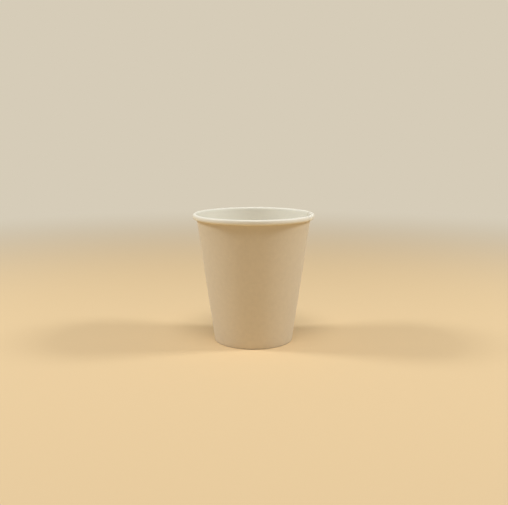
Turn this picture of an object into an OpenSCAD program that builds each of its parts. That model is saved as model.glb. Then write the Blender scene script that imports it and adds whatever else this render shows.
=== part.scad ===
// Paper cup for hot drinks, 300 ml, single wall.
// Two pieces of coated board: a conical sidewall, wound from one fan-shaped
// blank, and a round bottom whose edge is turned down into a skirt. The
// sidewall's top is rolled outwards into a hollow rim. Its foot is folded in
// and up, and the bottom's skirt is sealed inside that fold.
// Z is the cup's axis, and the cup stands on Z = 0.

/* [Cup] */
// Outside diameter of the rolled rim
rim_d = 90; // [78:0.5:110]
// Height from the table to the top of the rim
cup_h = 96; // [60:0.5:140]
// Outside diameter of the wall where it meets the table
foot_d = 58.5; // [44:0.5:66]

/* [Board] */
// Thickness of the sidewall's board
wall_t = 0.36; // [0.28:0.01:0.44]
// Thickness of the bottom's board
bottom_t = 0.3; // [0.22:0.01:0.4]
// Coating film between two sealed faces
seal_t = 0.02; // [0.01:0.01:0.05]

/* [Rolled rim] */
// Width across the roll
roll_w = 2.9; // [2.5:0.1:3.8]
// Height of the upright outer side of the roll, which a lid grips
roll_flank = 0.95; // [0.3:0.05:2]
// Gap between one turn of the roll and the next
roll_gap = 0.08; // [0.04:0.01:0.15]
// Angle over which the inner turn bends before it ends inside the roll
roll_tuck = 125; // [40:5:160]

/* [Foot] */
// Height from the table to the underside of the bottom
recess_h = 8; // [6:0.5:14]
// Inner radius of the bend at the bottom's edge
bend_in = 0.6; // [0.4:0.05:1]
// Inner radius of each corner of the fold
fold_in = 0.06; // [0.04:0.01:0.08]
// Distance from the bend at the bottom's edge down to the hem's cut edge
hem_gap = 1; // [0.5:0.1:2]
// Distance from the fold up to the skirt's cut edge
skirt_gap = 0.4; // [0.1:0.1:1]

/* [Side seam] */
// Width of the overlap at the foot
lap_w = 5.5; // [4:0.5:9]
// Angle from +X towards +Y at which the outer flap starts to lift
seam_at = 4; // [0:1:359]
// Length over which the flap is pressed down at each end of the wall
lap_press = 6; // [3:0.5:12]

/* [Hidden] */
$fn = 180;
wall_colour = [0.89, 0.83, 0.72];
bottom_colour = [0.91, 0.87, 0.78];
// Size of the cutting boxes, larger than any cup in the ranges
far = 400;
// How far a cutting plane lies under the cone that it grazes
graze = 0.02;
// How far a bend stands proud of the straight board beside it, so that their
// outlines cross where they would only touch
proud = 0.002;

rim_r = rim_d / 2;
foot_r = foot_d / 2;

// Upper half circle of the roll, and the wall's slope from the upright: the
// wall's outer face runs from the foot up to the hollow side of that circle.
roll_r = roll_w / 2;
hollow_r = roll_r - wall_t;
top_c = [rim_r - roll_r, cup_h - roll_r];
slope = atan2(top_c[0] - foot_r, top_c[1])
      - asin(hollow_r / norm([top_c[0] - foot_r, top_c[1]]));

// Directions along the wall, and square to it away from the cup's axis.
up = [sin(slope), cos(slope)];
out = [cos(slope), -sin(slope)];

// Lower half circle of the roll, which comes back to the wall's outer face,
// and the inner turn, which runs up beside the wall and over inside the roll.
low_z = top_c[1] - roll_flank;
low_r = ((rim_r - foot_r) * cos(slope) - low_z * sin(slope) - roll_gap) / (1 + cos(slope));
low_c = [rim_r - low_r, low_z];
tuck_r = hollow_r - roll_gap;

// The fold, which holds wall, skirt and hem side by side.
fold_w = 2 * wall_t + bottom_t + 2 * seal_t;
fold_r = wall_t + fold_in;
fold_outer_c = face_at(fold_r, -fold_r);
fold_inner_c = face_at(fold_r, fold_r - fold_w);
wall_foot = fold_outer_c + fold_r * out;
wall_top = top_c - hollow_r * out;
hem_foot = fold_inner_c - fold_r * out;
hem_top = hem_foot + (recess_h - bend_in - hem_gap - hem_foot[1]) / cos(slope) * up;

// The skirt and the bend that leads to it.
bend_r = bend_in + bottom_t;
bend_c = face_at(recess_h - bend_in, -wall_t - seal_t - bend_r);
skirt_top = bend_c + bend_r * out;
skirt_length = (skirt_top[1] - wall_t - skirt_gap) / cos(slope);

// The overlap: the angle over which the outer flap lifts by one thickness,
// the angle of the overlap itself, and the flap's end under the roll.
lift_angle = acos((foot_r - graze) / (foot_r + wall_t));
lap_angle = lap_w / foot_r * 180 / PI;
under_roll = low_r + roll_gap;
flap_top = low_c - (under_roll - wall_t) * out
         - sqrt(under_roll ^ 2 - (under_roll - wall_t) ^ 2) * up;

// A point at height z on a face that lies d outside the wall's outer face.
function face_at(z, d) = [foot_r + z * tan(slope) + d / cos(slope), z];

// A point at angle a round the centre c.
function around(c, r, a) = c + r * [cos(a), sin(a)];

// How far a straight board and a bend of outer radius r run into each other:
// just so far that the end of each stays inside the other.
function run_in(r, t) = r > 0 ? sqrt(2 * proud * (r - t / 2)) : 0;

// Straight board, t thick, on the left of the way from a to b. It runs into
// bends of outer radius ra and rb, or has a cut edge where that is 0.
module straight_board(a, b, t, ra, rb) {
    way = (b - a) / norm(b - a);
    left = t * [-way[1], way[0]];
    start = a - run_in(ra, t) * way;
    end = b + run_in(rb, t) * way;
    polygon([start, end, end + left, start + left]);
}

// Board bent round c from angle a0 to angle a1, with its outer face at r.
module bent_board(c, r, t, a0, a1) {
    over = atan(run_in(r, t) / (r - t / 2));
    intersection() {
        translate(c) difference() {
            circle(r = r + proud);
            circle(r = r + proud - t);
        }
        polygon([
            c,
            around(c, 2 * r, a0 - over),
            around(c, 4 * r, (a0 + a1) / 2),
            around(c, 2 * r, a1 + over)
        ]);
    }
}

// Half-section of the sidewall, from the hem's cut edge round the fold, up
// the wall and round the roll to the end of its inner turn.
module sidewall_section() {
    straight_board(hem_top, hem_foot, wall_t, 0, fold_r);
    bent_board(fold_inner_c, fold_r, wall_t, -180 - slope, -90);
    straight_board([fold_inner_c[0], 0], [fold_outer_c[0], 0], wall_t, fold_r, fold_r);
    bent_board(fold_outer_c, fold_r, wall_t, -90, -slope);
    straight_board(wall_foot, wall_top, wall_t, fold_r, roll_r);
    bent_board(top_c, roll_r, wall_t, 0, 180 - slope);
    straight_board([rim_r, low_c[1]], [rim_r, top_c[1]], wall_t, low_r, roll_r);
    bent_board(low_c, low_r, wall_t, -180 - slope, 0);
    straight_board(top_c - tuck_r * out, low_c - low_r * out, wall_t, tuck_r, low_r);
    bent_board(top_c, tuck_r, wall_t, 180 - slope - roll_tuck, 180 - slope);
}

// Half-section of the outer flap: the second thickness outside the wall,
// from the table to the underside of the roll. Half a thickness of it lies
// in the wall, so that the two join.
module outer_flap_section() {
    polygon([
        [fold_outer_c[0], 0],
        face_at(0, wall_t),
        flap_top,
        flap_top - 1.5 * wall_t * out,
        wall_foot - 0.5 * wall_t * out
    ]);
}

// Half-section of the same flap where the fold carries it up inside the hem.
module hem_flap_section() {
    polygon([
        face_at(0, -fold_w - wall_t),
        [fold_inner_c[0], 0],
        hem_foot + 0.5 * wall_t * out,
        hem_top + 0.5 * wall_t * out,
        hem_top - wall_t * out
    ]);
}

// Half-section of the hollow that the lifting flap leaves inside the cup,
// beside the inner flap's cut edge. It comes in from the cup's inside, and
// grows shallow towards the bottom and the roll.
module lift_hollow_section() {
    low = recess_h + bottom_t;
    high = flap_top[1];
    polygon([
        face_at(low, -1.5 * wall_t),
        face_at(low + lap_press, 0),
        face_at(high - lap_press, 0),
        face_at(high, -1.5 * wall_t)
    ]);
}

// A frame that stands on the wall at angle a, d outside its outer face: X
// points away from the wall, Y round the cup and Z up the wall.
module on_wall(a, d) {
    rotate([0, 0, a]) translate([face_at(0, d)[0], 0, 0]) rotate([0, slope, 0]) children();
}

// The outer flap leaves the wall along a flat plane, as taut board does.
module outer_flap() {
    difference() {
        rotate_extrude(angle = lift_angle + lap_angle, start = seam_at) outer_flap_section();
        on_wall(seam_at, -graze) translate([0, -far / 2, -far / 2]) cube(far);
    }
}

module hem_flap() {
    difference() {
        rotate_extrude(angle = 2 * lift_angle + lap_angle, start = seam_at - lift_angle)
            hem_flap_section();
        on_wall(seam_at + lift_angle, -fold_w - wall_t - graze)
            translate([-far, -far, -far / 2]) cube(far);
    }
}

module lift_hollow() {
    difference() {
        rotate_extrude(angle = lift_angle, start = seam_at) lift_hollow_section();
        on_wall(seam_at, -wall_t - graze) translate([0, -far / 2, -far / 2]) cube(far);
    }
}

module sidewall() {
    color(wall_colour) difference() {
        union() {
            rotate_extrude() sidewall_section();
            outer_flap();
            hem_flap();
        }
        lift_hollow();
    }
}

// The bottom: a flat disc, the bend at its edge and the skirt below it.
module bottom_disc() {
    color(bottom_colour) rotate_extrude() {
        straight_board([0, recess_h], [bend_c[0], recess_h], bottom_t, 0, bend_r);
        bent_board(bend_c, bend_r, bottom_t, -slope, 90);
        straight_board(skirt_top - skirt_length * up, skirt_top, bottom_t, 0, bend_r);
    }
}

sidewall();
bottom_disc();
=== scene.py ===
import math

import bpy
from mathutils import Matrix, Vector


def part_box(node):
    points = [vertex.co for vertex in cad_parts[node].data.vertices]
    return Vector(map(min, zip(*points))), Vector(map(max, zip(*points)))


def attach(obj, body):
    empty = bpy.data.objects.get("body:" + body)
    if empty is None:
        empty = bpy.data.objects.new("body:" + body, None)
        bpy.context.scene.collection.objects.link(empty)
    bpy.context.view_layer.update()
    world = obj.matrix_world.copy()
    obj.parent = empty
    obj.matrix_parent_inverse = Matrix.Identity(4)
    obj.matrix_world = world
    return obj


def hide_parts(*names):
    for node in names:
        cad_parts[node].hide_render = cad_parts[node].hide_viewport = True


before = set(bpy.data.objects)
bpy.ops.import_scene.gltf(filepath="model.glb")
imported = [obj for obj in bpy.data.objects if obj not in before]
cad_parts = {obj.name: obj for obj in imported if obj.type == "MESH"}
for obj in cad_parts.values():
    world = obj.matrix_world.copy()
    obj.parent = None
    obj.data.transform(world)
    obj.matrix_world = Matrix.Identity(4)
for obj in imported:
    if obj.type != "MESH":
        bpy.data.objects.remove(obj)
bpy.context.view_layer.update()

# The sidewall: one fan-shaped blank of coated board, wound into a cone and
# heat-sealed where its straight edges overlap. Its top is rolled outwards
# into a hollow rim, and its foot is folded in and up round the bottom's edge.
wall_low, wall_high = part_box("sidewall")
rim_r = (wall_high.x - wall_low.x) / 2
cup_h = wall_high.z
foot_r = 0.02925
wall_t = 0.00036
bottom_t = 0.0003
seal_t = 0.00002
roll_r = 0.00145
roll_flank = 0.00095
roll_gap = 0.00008
roll_tuck = math.radians(125)
fold_in = 0.00006
bend_in = 0.0006
recess_h = 0.008
hem_gap = 0.001
lap_press = 0.006

# The board's section in the plane of radius and height, along the middle of
# the board. The wall leans out by the angle slope, and meets the hollow side
# of the roll. The roll comes back to the wall and turns up again inside.
half = wall_t / 2
top_centre = Vector((rim_r - roll_r, cup_h - roll_r))
hollow_r = roll_r - wall_t
reach = Vector((top_centre.x - foot_r, top_centre.y))
slope = math.atan2(reach.x, reach.y) - math.asin(hollow_r / reach.length)
up = Vector((math.sin(slope), math.cos(slope)))
out = Vector((math.cos(slope), -math.sin(slope)))
low_z = top_centre.y - roll_flank
low_reach = (rim_r - foot_r) * math.cos(slope) - low_z * math.sin(slope)
low_r = (low_reach - roll_gap) / (1 + math.cos(slope))
low_centre = Vector((rim_r - low_r, low_z))
tuck_r = hollow_r - roll_gap
fold_w = 2 * wall_t + bottom_t + 2 * seal_t
fold_r = wall_t + fold_in


def on_face(z, d):
    """The point at height z on a face that lies d outside the wall's outer face."""
    return Vector((foot_r + z * math.tan(slope) + d / math.cos(slope), z))


def straight(a, b, steps):
    """Points from a towards b, without b."""
    return [a.lerp(b, k / steps) for k in range(steps)]


def bent(centre, r, start, end, steps):
    """Points round a centre from angle start towards angle end, without the last."""
    angles = [start + (end - start) * k / steps for k in range(steps)]
    return [centre + r * Vector((math.cos(a), math.sin(a))) for a in angles]


fold_outer_centre = on_face(fold_r, -fold_r)
fold_inner_centre = on_face(fold_r, fold_r - fold_w)
hem_foot = fold_inner_centre - (fold_r - half) * out
hem_top = hem_foot + (recess_h - bend_in - hem_gap - hem_foot.y) / math.cos(slope) * up
wall_foot = fold_outer_centre + (fold_r - half) * out
wall_top = top_centre - (roll_r - half) * out

# The outer flap's own top edge, close under the roll.
under_roll = low_r + roll_gap
flap_corner = low_centre - (under_roll - wall_t) * out
flap_drop = math.sqrt(under_roll ** 2 - (under_roll - wall_t) ** 2)
flap_end = wall_foot + ((flap_corner - wall_foot).dot(up) - flap_drop) * up

# The direction from a bend's centre that points into the cup, square to the
# wall, as an angle counted over the top and as one counted round below.
inwards_over = math.pi - slope
inwards_under = -math.pi - slope

# How many steps each stretch of the section is drawn in.
hem_steps = 8
fold_steps = 5
wall_steps = 28
roll_steps = 14
tuck_steps = 8

hem_rows = straight(hem_top, hem_foot, hem_steps)
fold_rows = (
    bent(fold_inner_centre, fold_r - half, inwards_under, -math.pi / 2, fold_steps)
    + bent(fold_outer_centre, fold_r - half, -math.pi / 2, -slope, fold_steps)
)
wall_rows = straight(wall_foot, flap_end, wall_steps) + [flap_end]
shoulder_rows = [flap_end.lerp(wall_top, 0.5)]
roll_rows = (
    bent(top_centre, roll_r - half, inwards_over, 0, roll_steps)
    + bent(low_centre, low_r - half, 0, inwards_under, roll_steps)
)
tuck_rows = bent(top_centre, tuck_r - half, inwards_over, inwards_over - roll_tuck, tuck_steps)
lower_rows = hem_rows + fold_rows + wall_rows
section = lower_rows + shoulder_rows + roll_rows + tuck_rows

# The winding, in steps round the cup. The inner flap's cut edge is step 0,
# and the outer flap lifts over it and ends lap_steps past the full turn.
steps_round = 480
lap_steps = 14
inner_edge = math.radians(13.5)
lift_start = math.radians(4)


def ramp(value, low, high):
    """0 below low, 1 above high, and a smooth rise between them."""
    t = min(max((value - low) / (high - low), 0), 1)
    return t * t * (3 - 2 * t)


# How far off the outer flap stands in each row: a whole board, but nothing on
# the ring that the cup stands on, and less in the roll, which is pressed flat.
flap_rises = (0.0003, 0.0012)
roll_lift = 0.5
lift = [ramp(p.y, *flap_rises) for p in lower_rows + shoulder_rows]
lift += [roll_lift] * len(roll_rows + tuck_rows)

# Where the seam is pressed down, at the bottom and under the roll, the flap
# lifts over a shorter way.
press = []
for p in section:
    at_bottom = 1 - ramp(p.y, recess_h, recess_h + lap_press)
    near_roll = ramp(p.y, flap_end.y - lap_press, flap_end.y)
    press.append(max(at_bottom, near_roll))

# The ridges that the sealing tool leaves on the inside of the hem: the
# heights between which they begin and end, their number and their height.
ridges_begin = (0.0011, 0.0018)
ridges_end = (0.0052, 0.0059)
hem_ridges = 120.0
ridge_height = 0.00005
knurl = [ramp(p.y, *ridges_begin) * (1 - ramp(p.y, *ridges_end)) for p in hem_rows]
knurl += [0.0] * (len(section) - len(hem_rows))

# First and last step of the board in each row: the blank's corners are
# trimmed, so that the fold and the roll don't grow too thick at the seam.
roll_lap = 2
tuck_trim = 4
whole_board = (0, steps_round + lap_steps)
no_inner_flap = (lap_steps, steps_round + lap_steps)
spans = [whole_board if rise == 1 else no_inner_flap for rise in lift[:len(lower_rows)]]
spans += [(0, steps_round)] * len(shoulder_rows)
spans += [(0, steps_round + roll_lap)] * len(roll_rows)
spans += [(tuck_trim, steps_round - tuck_trim)] * len(tuck_rows)


def in_scene(name, data):
    """A new object in the scene, at the origin."""
    made = bpy.data.objects.new(name, data)
    bpy.context.scene.collection.objects.link(made)
    return made


def outward(points):
    """Unit normals of the section, on the side that the wall's outer face is on."""
    normals = []
    for k in range(len(points)):
        along = points[min(k + 1, len(points) - 1)] - points[max(k - 1, 0)]
        along.normalize()
        normals.append((along.y, 0, -along.x))
    return normals


def section_line(name, points, marks):
    """The section as an open line, with one value of each mark for each point."""
    mesh = bpy.data.meshes.new(name)
    edges = [(k, k + 1) for k in range(len(points) - 1)]
    mesh.from_pydata([(p.x, 0, p.y) for p in points], edges, [])
    normals = mesh.attributes.new("outward", "FLOAT_VECTOR", "POINT")
    for item, normal in zip(normals.data, outward(points)):
        item.vector = normal
    for mark, values in marks.items():
        mesh.attributes.new(mark, "FLOAT", "POINT").data.foreach_set("value", values)
    return in_scene(name, mesh)


def node(tree, kind, inputs=(), **settings):
    """A node of a tree, its properties set, and each input a socket to link or a value."""
    made = tree.nodes.new(kind)
    for key, value in settings.items():
        setattr(made, key, value)
    for key, value in dict(inputs).items():
        if isinstance(value, bpy.types.NodeSocket):
            tree.links.new(value, made.inputs[key])
        else:
            made.inputs[key].default_value = value
    return made


def maths(tree, operation, *values):
    """The result of a Math node."""
    return node(tree, "ShaderNodeMath", enumerate(values), operation=operation).outputs[0]


def winding_tree():
    """Winds a section round the Z axis into a sheet, whose far end lifts over its near end."""
    tree = bpy.data.node_groups.new("wind_board", "GeometryNodeTree")
    tree.interface.new_socket("Geometry", in_out="INPUT", socket_type="NodeSocketGeometry")
    tree.interface.new_socket("Steps", in_out="INPUT", socket_type="NodeSocketInt")
    for name in ("Steps Round", "First Edge", "Lift Start", "Board", "Ridges", "Ridge Height"):
        tree.interface.new_socket(name, in_out="INPUT", socket_type="NodeSocketFloat")
    tree.interface.new_socket("Material", in_out="INPUT", socket_type="NodeSocketMaterial")
    tree.interface.new_socket("Geometry", in_out="OUTPUT", socket_type="NodeSocketGeometry")
    given = tree.nodes.new("NodeGroupInput").outputs
    line = given["Geometry"]
    rows = node(tree, "GeometryNodeAttributeDomainSize", {"Geometry": line}).outputs["Point Count"]
    columns = maths(tree, "ADD", given["Steps"], 1)
    grid = node(tree, "GeometryNodeMeshGrid", {"Vertices X": columns, "Vertices Y": rows}).outputs["Mesh"]
    index = tree.nodes.new("GeometryNodeInputIndex").outputs[0]
    row = maths(tree, "MODULO", index, rows)
    step = maths(tree, "FLOOR", maths(tree, "DIVIDE", index, rows))

    def of_row(kind, value):
        sample = node(tree, "GeometryNodeSampleIndex", {"Geometry": line, "Value": value, "Index": row},
                      data_type=kind)
        return sample.outputs["Value"]

    def mark(name, kind="FLOAT"):
        named = node(tree, "GeometryNodeInputNamedAttribute", {"Name": name}, data_type=kind)
        return of_row(kind, named.outputs["Attribute"])

    place = of_row("FLOAT_VECTOR", tree.nodes.new("GeometryNodeInputPosition").outputs[0])
    turn = maths(tree, "DIVIDE", step, given["Steps Round"])
    angle = maths(tree, "ADD", maths(tree, "MULTIPLY", turn, 2 * math.pi), given["First Edge"])

    # The outer flap leaves the cone along a flat plane until it is a board's
    # thickness out. Where it is pressed down, it does so after this share of
    # the way.
    pressed_late = 0.8
    past = maths(tree, "SUBTRACT", angle, maths(tree, "ADD", given["Lift Start"], 2 * math.pi))
    way = maths(tree, "SUBTRACT", given["First Edge"], given["Lift Start"])
    late = maths(tree, "MULTIPLY", maths(tree, "MULTIPLY", mark("press"), way), pressed_late)
    gone = maths(tree, "MAXIMUM", maths(tree, "SUBTRACT", past, late), 0)
    share = maths(tree, "DIVIDE", gone, maths(tree, "SUBTRACT", way, late))
    rise = maths(tree, "MINIMUM", maths(tree, "POWER", share, 2), 1)
    lifted = maths(tree, "MULTIPLY", maths(tree, "MULTIPLY", rise, mark("lift")), given["Board"])

    # Ridges run along the section, in waves round the axis.
    wave = maths(tree, "SINE", maths(tree, "MULTIPLY", angle, given["Ridges"]))
    ridge = maths(tree, "MULTIPLY", maths(tree, "MULTIPLY", wave, mark("ridge")), given["Ridge Height"])
    raised = maths(tree, "ADD", lifted, ridge)
    shift = node(tree, "ShaderNodeVectorMath", {0: mark("outward", "FLOAT_VECTOR"), "Scale": raised},
                 operation="SCALE").outputs["Vector"]
    moved = node(tree, "ShaderNodeVectorMath", {0: place, 1: shift}).outputs["Vector"]
    wound = node(tree, "ShaderNodeVectorRotate", {"Vector": moved, "Angle": angle},
                 rotation_type="Z_AXIS").outputs[0]
    sheet = node(tree, "GeometryNodeSetPosition", {"Geometry": grid, "Position": wound}).outputs[0]

    # What lies before a row's first step or after its last is cut away, and
    # points that fall on one another are made one.
    half_step = 0.5
    weld = 1e-6
    before = maths(tree, "LESS_THAN", step, maths(tree, "SUBTRACT", mark("first"), half_step))
    after = maths(tree, "GREATER_THAN", step, maths(tree, "ADD", mark("last"), half_step))
    cut_off = maths(tree, "MAXIMUM", before, after)
    trimmed = node(tree, "GeometryNodeDeleteGeometry", {"Geometry": sheet, "Selection": cut_off},
                   domain="POINT").outputs[0]
    joined = node(tree, "GeometryNodeMergeByDistance", {"Geometry": trimmed, "Distance": weld}).outputs[0]
    real = node(tree, "GeometryNodeRealizeInstances", {"Geometry": joined}).outputs[0]
    dressed = node(tree, "GeometryNodeSetMaterial", {"Geometry": real, "Material": given["Material"]})
    tree.links.new(dressed.outputs[0], tree.nodes.new("NodeGroupOutput").inputs[0])
    return tree


def plain_mesh(draft, name):
    """A new object with the draft's mesh as its modifiers leave it. The draft goes."""
    bpy.context.view_layer.update()
    mesh = bpy.data.meshes.new_from_object(draft.evaluated_get(bpy.context.evaluated_depsgraph_get()))
    bpy.data.objects.remove(draft)
    mesh.name = name
    return in_scene(name, mesh)


def wound_board(name, points, marks, sizes, board_t, outer, inner, edge):
    """Solid board: the section wound into a sheet, given its thickness and its faces' materials."""
    draft = section_line(name + "_section", points, marks)
    winding = draft.modifiers.new("wind", "NODES")
    winding.node_group = board_winding
    for item in board_winding.interface.items_tree:
        if item.in_out == "INPUT" and item.name in sizes:
            winding[item.identifier] = sizes[item.name]
        elif item.in_out == "INPUT" and item.name == "Material":
            winding[item.identifier] = outer
    sheet = plain_mesh(draft, name + "_sheet")
    sheet.data.materials.append(inner)
    sheet.data.materials.append(edge)
    thick = sheet.modifiers.new("board", "SOLIDIFY")
    thick.thickness = board_t
    thick.offset = 0
    thick.material_offset = 1
    thick.material_offset_rim = 2
    piece = plain_mesh(sheet, name)
    piece.data.polygons.foreach_set("use_smooth", [True] * len(piece.data.polygons))
    piece.data.set_sharp_from_angle(angle=math.radians(35))
    return piece


def srgb(r, g, b):
    """A colour written in display values from 0 to 255, as the shaders take it."""
    parts = [c / 255 for c in (r, g, b)]
    return [c / 12.92 if c <= 0.04045 else ((c + 0.055) / 1.055) ** 2.4 for c in parts] + [1.0]


def noise(tree, place, cells, detail=3.0):
    """Noise with so many cells to the metre, from 0 to 1."""
    made = node(tree, "ShaderNodeTexNoise", {"Vector": place, "Scale": cells, "Detail": detail})
    return made.outputs["Fac"]


def fibres(tree, place, cells, width):
    """Thin curved lines, 1 along each and 0 beside it, as felted fibres lie."""
    off = maths(tree, "ABSOLUTE", maths(tree, "SUBTRACT", noise(tree, place, cells, detail=1.0), 0.5))
    return node(tree, "ShaderNodeMapRange", {"Value": off, "From Min": 0.0, "From Max": width,
                                             "To Min": 1.0, "To Max": 0.0}).outputs["Result"]


def mixed_by(tree, share, one, other):
    """The given share of one value, and the rest of the other."""
    part = maths(tree, "MULTIPLY", one, share)
    rest = maths(tree, "MULTIPLY", other, 1 - share)
    return maths(tree, "ADD", part, rest)


def painted_contact_shade(tree, colour, place, clouds, painted_foot_shade):
    """The colour, darker by the given share along the fold that the cup stands on: painted shade where
    the cup meets the floor. Its edge is ragged.
    """
    ragged_by = 0.0006
    full_below = 0.0001
    gone_above = 0.0008
    height = node(tree, "ShaderNodeSeparateXYZ", {0: place}).outputs["Z"]
    wander = maths(tree, "MULTIPLY", maths(tree, "SUBTRACT", clouds, 0.5), ragged_by)
    kept = node(tree, "ShaderNodeMapRange", {"Value": maths(tree, "ADD", height, wander),
                                             "From Min": full_below, "From Max": gone_above,
                                             "To Min": 1 - painted_foot_shade, "To Max": 1.0}).outputs["Result"]
    darker = node(tree, "ShaderNodeVectorMath", {0: colour, "Scale": kept}, operation="SCALE")
    return darker.outputs["Vector"]


# The board's pattern, in cells to the metre: clouds a few millimetres across,
# coarse and fine fibres with their width, and grain. The clouds' share of the
# shade comes last.
cloud_cells = 330
coarse_fibres = (900, 0.025)
fine_fibres = (1900, 0.03)
grain_cells = 7000
cloud_share = 0.6


def board(name, colour, variation, roughness, tooth, felt, coat=0.0, sheen=0.0, painted_foot_shade=0.0):
    """Paper board, patterned on the piece's own coordinates. Its colour varies by the share variation.
    Its tooth, so many metres deep, is of fibres by the share felt and of grain for the rest. A given
    share of painted shade darkens its foot."""
    material = bpy.data.materials.new(name)
    material.use_nodes = True
    tree = material.node_tree
    shader = tree.nodes["Principled BSDF"]
    finish = {"Roughness": roughness, "Coat Weight": coat, "Coat Roughness": 0.3,
              "Sheen Weight": sheen, "Sheen Roughness": 0.6}
    for socket, value in finish.items():
        shader.inputs[socket].default_value = value
    place = tree.nodes.new("ShaderNodeTexCoord").outputs["Object"]
    clouds = noise(tree, place, cloud_cells)
    lines = maths(tree, "MAXIMUM", fibres(tree, place, *coarse_fibres), fibres(tree, place, *fine_fibres))
    paper = mixed_by(tree, felt, lines, noise(tree, place, grain_cells, detail=2.0))
    shade = mixed_by(tree, cloud_share, clouds, paper)
    dark, light = ([c * k for c in srgb(*colour)[:3]] + [1.0] for k in (1 - variation, 1 + variation))
    spread = node(tree, "ShaderNodeMapRange", {"Value": shade, "From Min": 0.25, "From Max": 0.75})
    mixed = node(tree, "ShaderNodeMix", {0: spread.outputs["Result"], 6: dark, 7: light},
                 data_type="RGBA").outputs[2]
    # Painted shade: the board is darkened along its foot, where the cup stands on the floor.
    if painted_foot_shade:
        mixed = painted_contact_shade(tree, mixed, place, clouds, painted_foot_shade)
    tree.links.new(mixed, shader.inputs["Base Color"])
    bump = node(tree, "ShaderNodeBump", {"Height": paper, "Strength": 1.0, "Distance": tooth})
    tree.links.new(bump.outputs["Normal"], shader.inputs["Normal"])
    return material


# The outer board carries painted shade along its foot, where the cup meets the floor.
outer_board = board("outer_board", (226, 211, 184), variation=0.04, roughness=0.7,
                    tooth=0.000012, felt=0.5, sheen=0.12, painted_foot_shade=0.4)
coated_board = board("coated_board", (238, 232, 215), variation=0.02, roughness=0.5,
                     tooth=0.000003, felt=0.2, coat=0.06)
cut_edge = board("cut_edge", (228, 216, 191), variation=0.08, roughness=0.9,
                 tooth=0.00003, felt=0.7)

board_winding = winding_tree()
sidewall = wound_board(
    "wound_sidewall", section,
    {"lift": lift, "press": press, "ridge": knurl,
     "first": [first for first, last in spans], "last": [last for first, last in spans]},
    {"Steps": steps_round + lap_steps, "Steps Round": float(steps_round),
     "First Edge": inner_edge, "Lift Start": lift_start, "Board": wall_t + seal_t,
     "Ridges": hem_ridges, "Ridge Height": ridge_height},
    wall_t, outer_board, coated_board, cut_edge,
)
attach(sidewall, "root")
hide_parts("sidewall")

# The bottom: a disc of thinner coated board, whose edge is turned down into a
# skirt and sealed between the wall and the folded hem. The turned edge
# gathers in fine pleats.
skirt_gap = 0.0004
bend_r = bend_in + bottom_t
bend_centre = on_face(recess_h - bend_in, -wall_t - seal_t - bend_r)
disc_z = recess_h + bottom_t / 2
skirt_top = bend_centre + (bend_r - bottom_t / 2) * out
skirt_low = skirt_top - (skirt_top.y - wall_t - skirt_gap) / math.cos(slope) * up
disc_steps = 20
bend_steps = 8
skirt_steps = 8
disc_rows = straight(Vector((0, disc_z)), Vector((bend_centre.x, disc_z)), disc_steps)
bend_rows = bent(bend_centre, bend_r - bottom_t / 2, math.pi / 2, -slope, bend_steps)
skirt_rows = straight(skirt_top, skirt_low, skirt_steps) + [skirt_low]
bottom_section = disc_rows + bend_rows + skirt_rows

# The pleats start on the disc, just inside the bend, and are full on the bend.
pleats_start = bend_centre.x - 0.0015
pleats_full = bend_centre.x + 0.0004
edge_pleats = 72.0
pleat_height = 0.00001
pleat = [ramp(p.x, pleats_start, pleats_full) for p in disc_rows + bend_rows]
pleat += [1.0] * len(skirt_rows)

# The blank is round and whole, so it is wound without a flap.
bottom_steps = 360
none = [0.0] * len(bottom_section)
all_round = [float(bottom_steps)] * len(bottom_section)
bottom_under = board("bottom_underside", (225, 210, 184), variation=0.04, roughness=0.7,
                     tooth=0.000012, felt=0.5, sheen=0.1)
bottom = wound_board(
    "bottom_board", bottom_section,
    {"lift": none, "press": none, "ridge": pleat, "first": none, "last": all_round},
    {"Steps": bottom_steps, "Steps Round": float(bottom_steps),
     "First Edge": 0.0, "Lift Start": -1.0, "Board": 0.0,
     "Ridges": edge_pleats, "Ridge Height": pleat_height},
    bottom_t, bottom_under, coated_board, cut_edge,
)
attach(bottom, "root")
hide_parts("bottom_disc")


# The floor: a plain pale surface. Further off, wherever it is looked at, it
# takes on the backdrop's own colour, as a paper sweep does out of the light.
def looked_at(tree):
    """1 for what the camera sees, in a mirror or through glass too, and 0 for the light on things."""
    rays = node(tree, "ShaderNodeLightPath").outputs
    mirrored = maths(tree, "MAXIMUM", rays["Is Glossy Ray"], rays["Is Transmission Ray"])
    return maths(tree, "MAXIMUM", rays["Is Camera Ray"], mirrored)


floor_reach = 6.0
fade_start = 0.2
fade_end = 0.95
backdrop = srgb(214, 204, 184)
corners = [(floor_reach * x, floor_reach * y, 0) for x, y in ((-1, -1), (1, -1), (1, 1), (-1, 1))]
floor_mesh = bpy.data.meshes.new("floor")
floor_mesh.from_pydata(corners, [], [(0, 1, 2, 3)])
floor = in_scene("floor", floor_mesh)
floor_paint = bpy.data.materials.new("floor_paint")
floor_paint.use_nodes = True
paint = floor_paint.node_tree
paint_shader = paint.nodes["Principled BSDF"]
paint_shader.inputs["Base Color"].default_value = srgb(228, 198, 151)
paint_shader.inputs["Roughness"].default_value = 0.9
floor_place = paint.nodes.new("ShaderNodeTexCoord").outputs["Object"]
far_off = node(paint, "ShaderNodeVectorMath", {0: floor_place}, operation="LENGTH").outputs["Value"]
fade = node(paint, "ShaderNodeMapRange", {"Value": far_off, "From Min": fade_start, "From Max": fade_end},
            interpolation_type="SMOOTHSTEP").outputs["Result"]
glow = node(paint, "ShaderNodeEmission", {"Color": backdrop, "Strength": 1.0}).outputs[0]
glow_share = maths(paint, "MULTIPLY", fade, looked_at(paint))
blended = node(paint, "ShaderNodeMixShader", {0: glow_share, 1: paint_shader.outputs[0], 2: glow})
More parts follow.
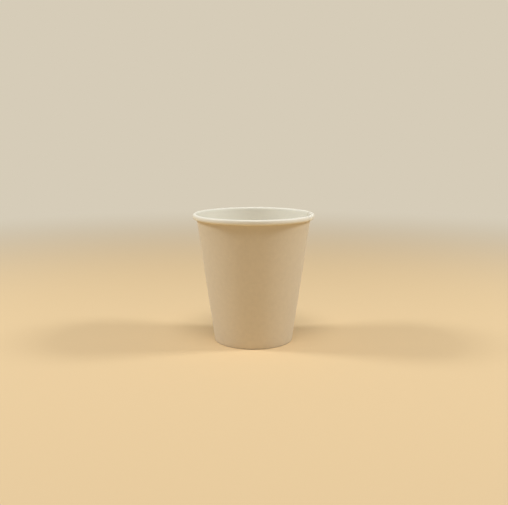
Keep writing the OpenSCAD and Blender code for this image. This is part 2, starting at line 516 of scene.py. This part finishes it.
paint.links.new(blended.outputs[0], paint.nodes["Material Output"].inputs["Surface"])
floor_mesh.materials.append(floor_paint)

# The studio round it: an even pale light from the whole room. Wherever it is
# looked at past the floor, its colour is the backdrop's.
room_colour = (1, 0.92, 0.82, 1)
room_strength = 0.22
world = bpy.data.worlds.new("studio")
world.use_nodes = True
room = world.node_tree
light = node(room, "ShaderNodeBackground", {"Color": room_colour, "Strength": room_strength}).outputs[0]
seen = node(room, "ShaderNodeBackground", {"Color": backdrop, "Strength": 1.0}).outputs[0]
both = node(room, "ShaderNodeMixShader", {0: looked_at(room), 1: light, 2: seen}).outputs[0]
room.links.new(both, room.nodes["World Output"].inputs["Surface"])
bpy.context.scene.world = world


# The lamps: a soft box high on either side, whose light the rim's overhang
# keeps off the top of the wall, and a third above and in front.
def soft_box(name, place, size, power, colour):
    """A square lamp that looks at the cup's middle, and that no camera sees."""
    lamp = bpy.data.lights.new(name, "AREA")
    lamp.shape = "SQUARE"
    lamp.size = size
    lamp.energy = power
    lamp.color = colour
    box = in_scene(name, lamp)
    box.location = place
    box.rotation_euler = (Vector((0, 0, cup_h / 2)) - Vector(place)).to_track_quat("-Z", "Y").to_euler()
    box.visible_camera = False


soft_box("left_box", place=(-0.76, 0.045, 0.68), size=0.2, power=4.1, colour=(0.87, 0.94, 1.0))
soft_box("right_box", place=(0.76, 0.0, 0.68), size=0.2, power=4.15, colour=(0.87, 0.94, 1.0))
soft_box("top_box", place=(0.0, -0.38, 1.14), size=0.5, power=5.8, colour=(0.97, 0.965, 0.985))

# The camera: where the photograph was taken from, half a metre off, a little
# above the rim and tilted down by so many degrees.
look_down = 9.68
camera_data = bpy.data.cameras.new("camera")
camera_data.sensor_width = 36
camera_data.lens = 48.45
camera_data.shift_x = 0.0009
camera_data.shift_y = 0.001
camera = in_scene("camera", camera_data)
camera.location = (0, -0.505, 0.15205)
camera.rotation_euler = (math.radians(90 - look_down), 0, 0)
bpy.context.scene.camera = camera
bpy.context.scene.view_settings.view_transform = "Standard"
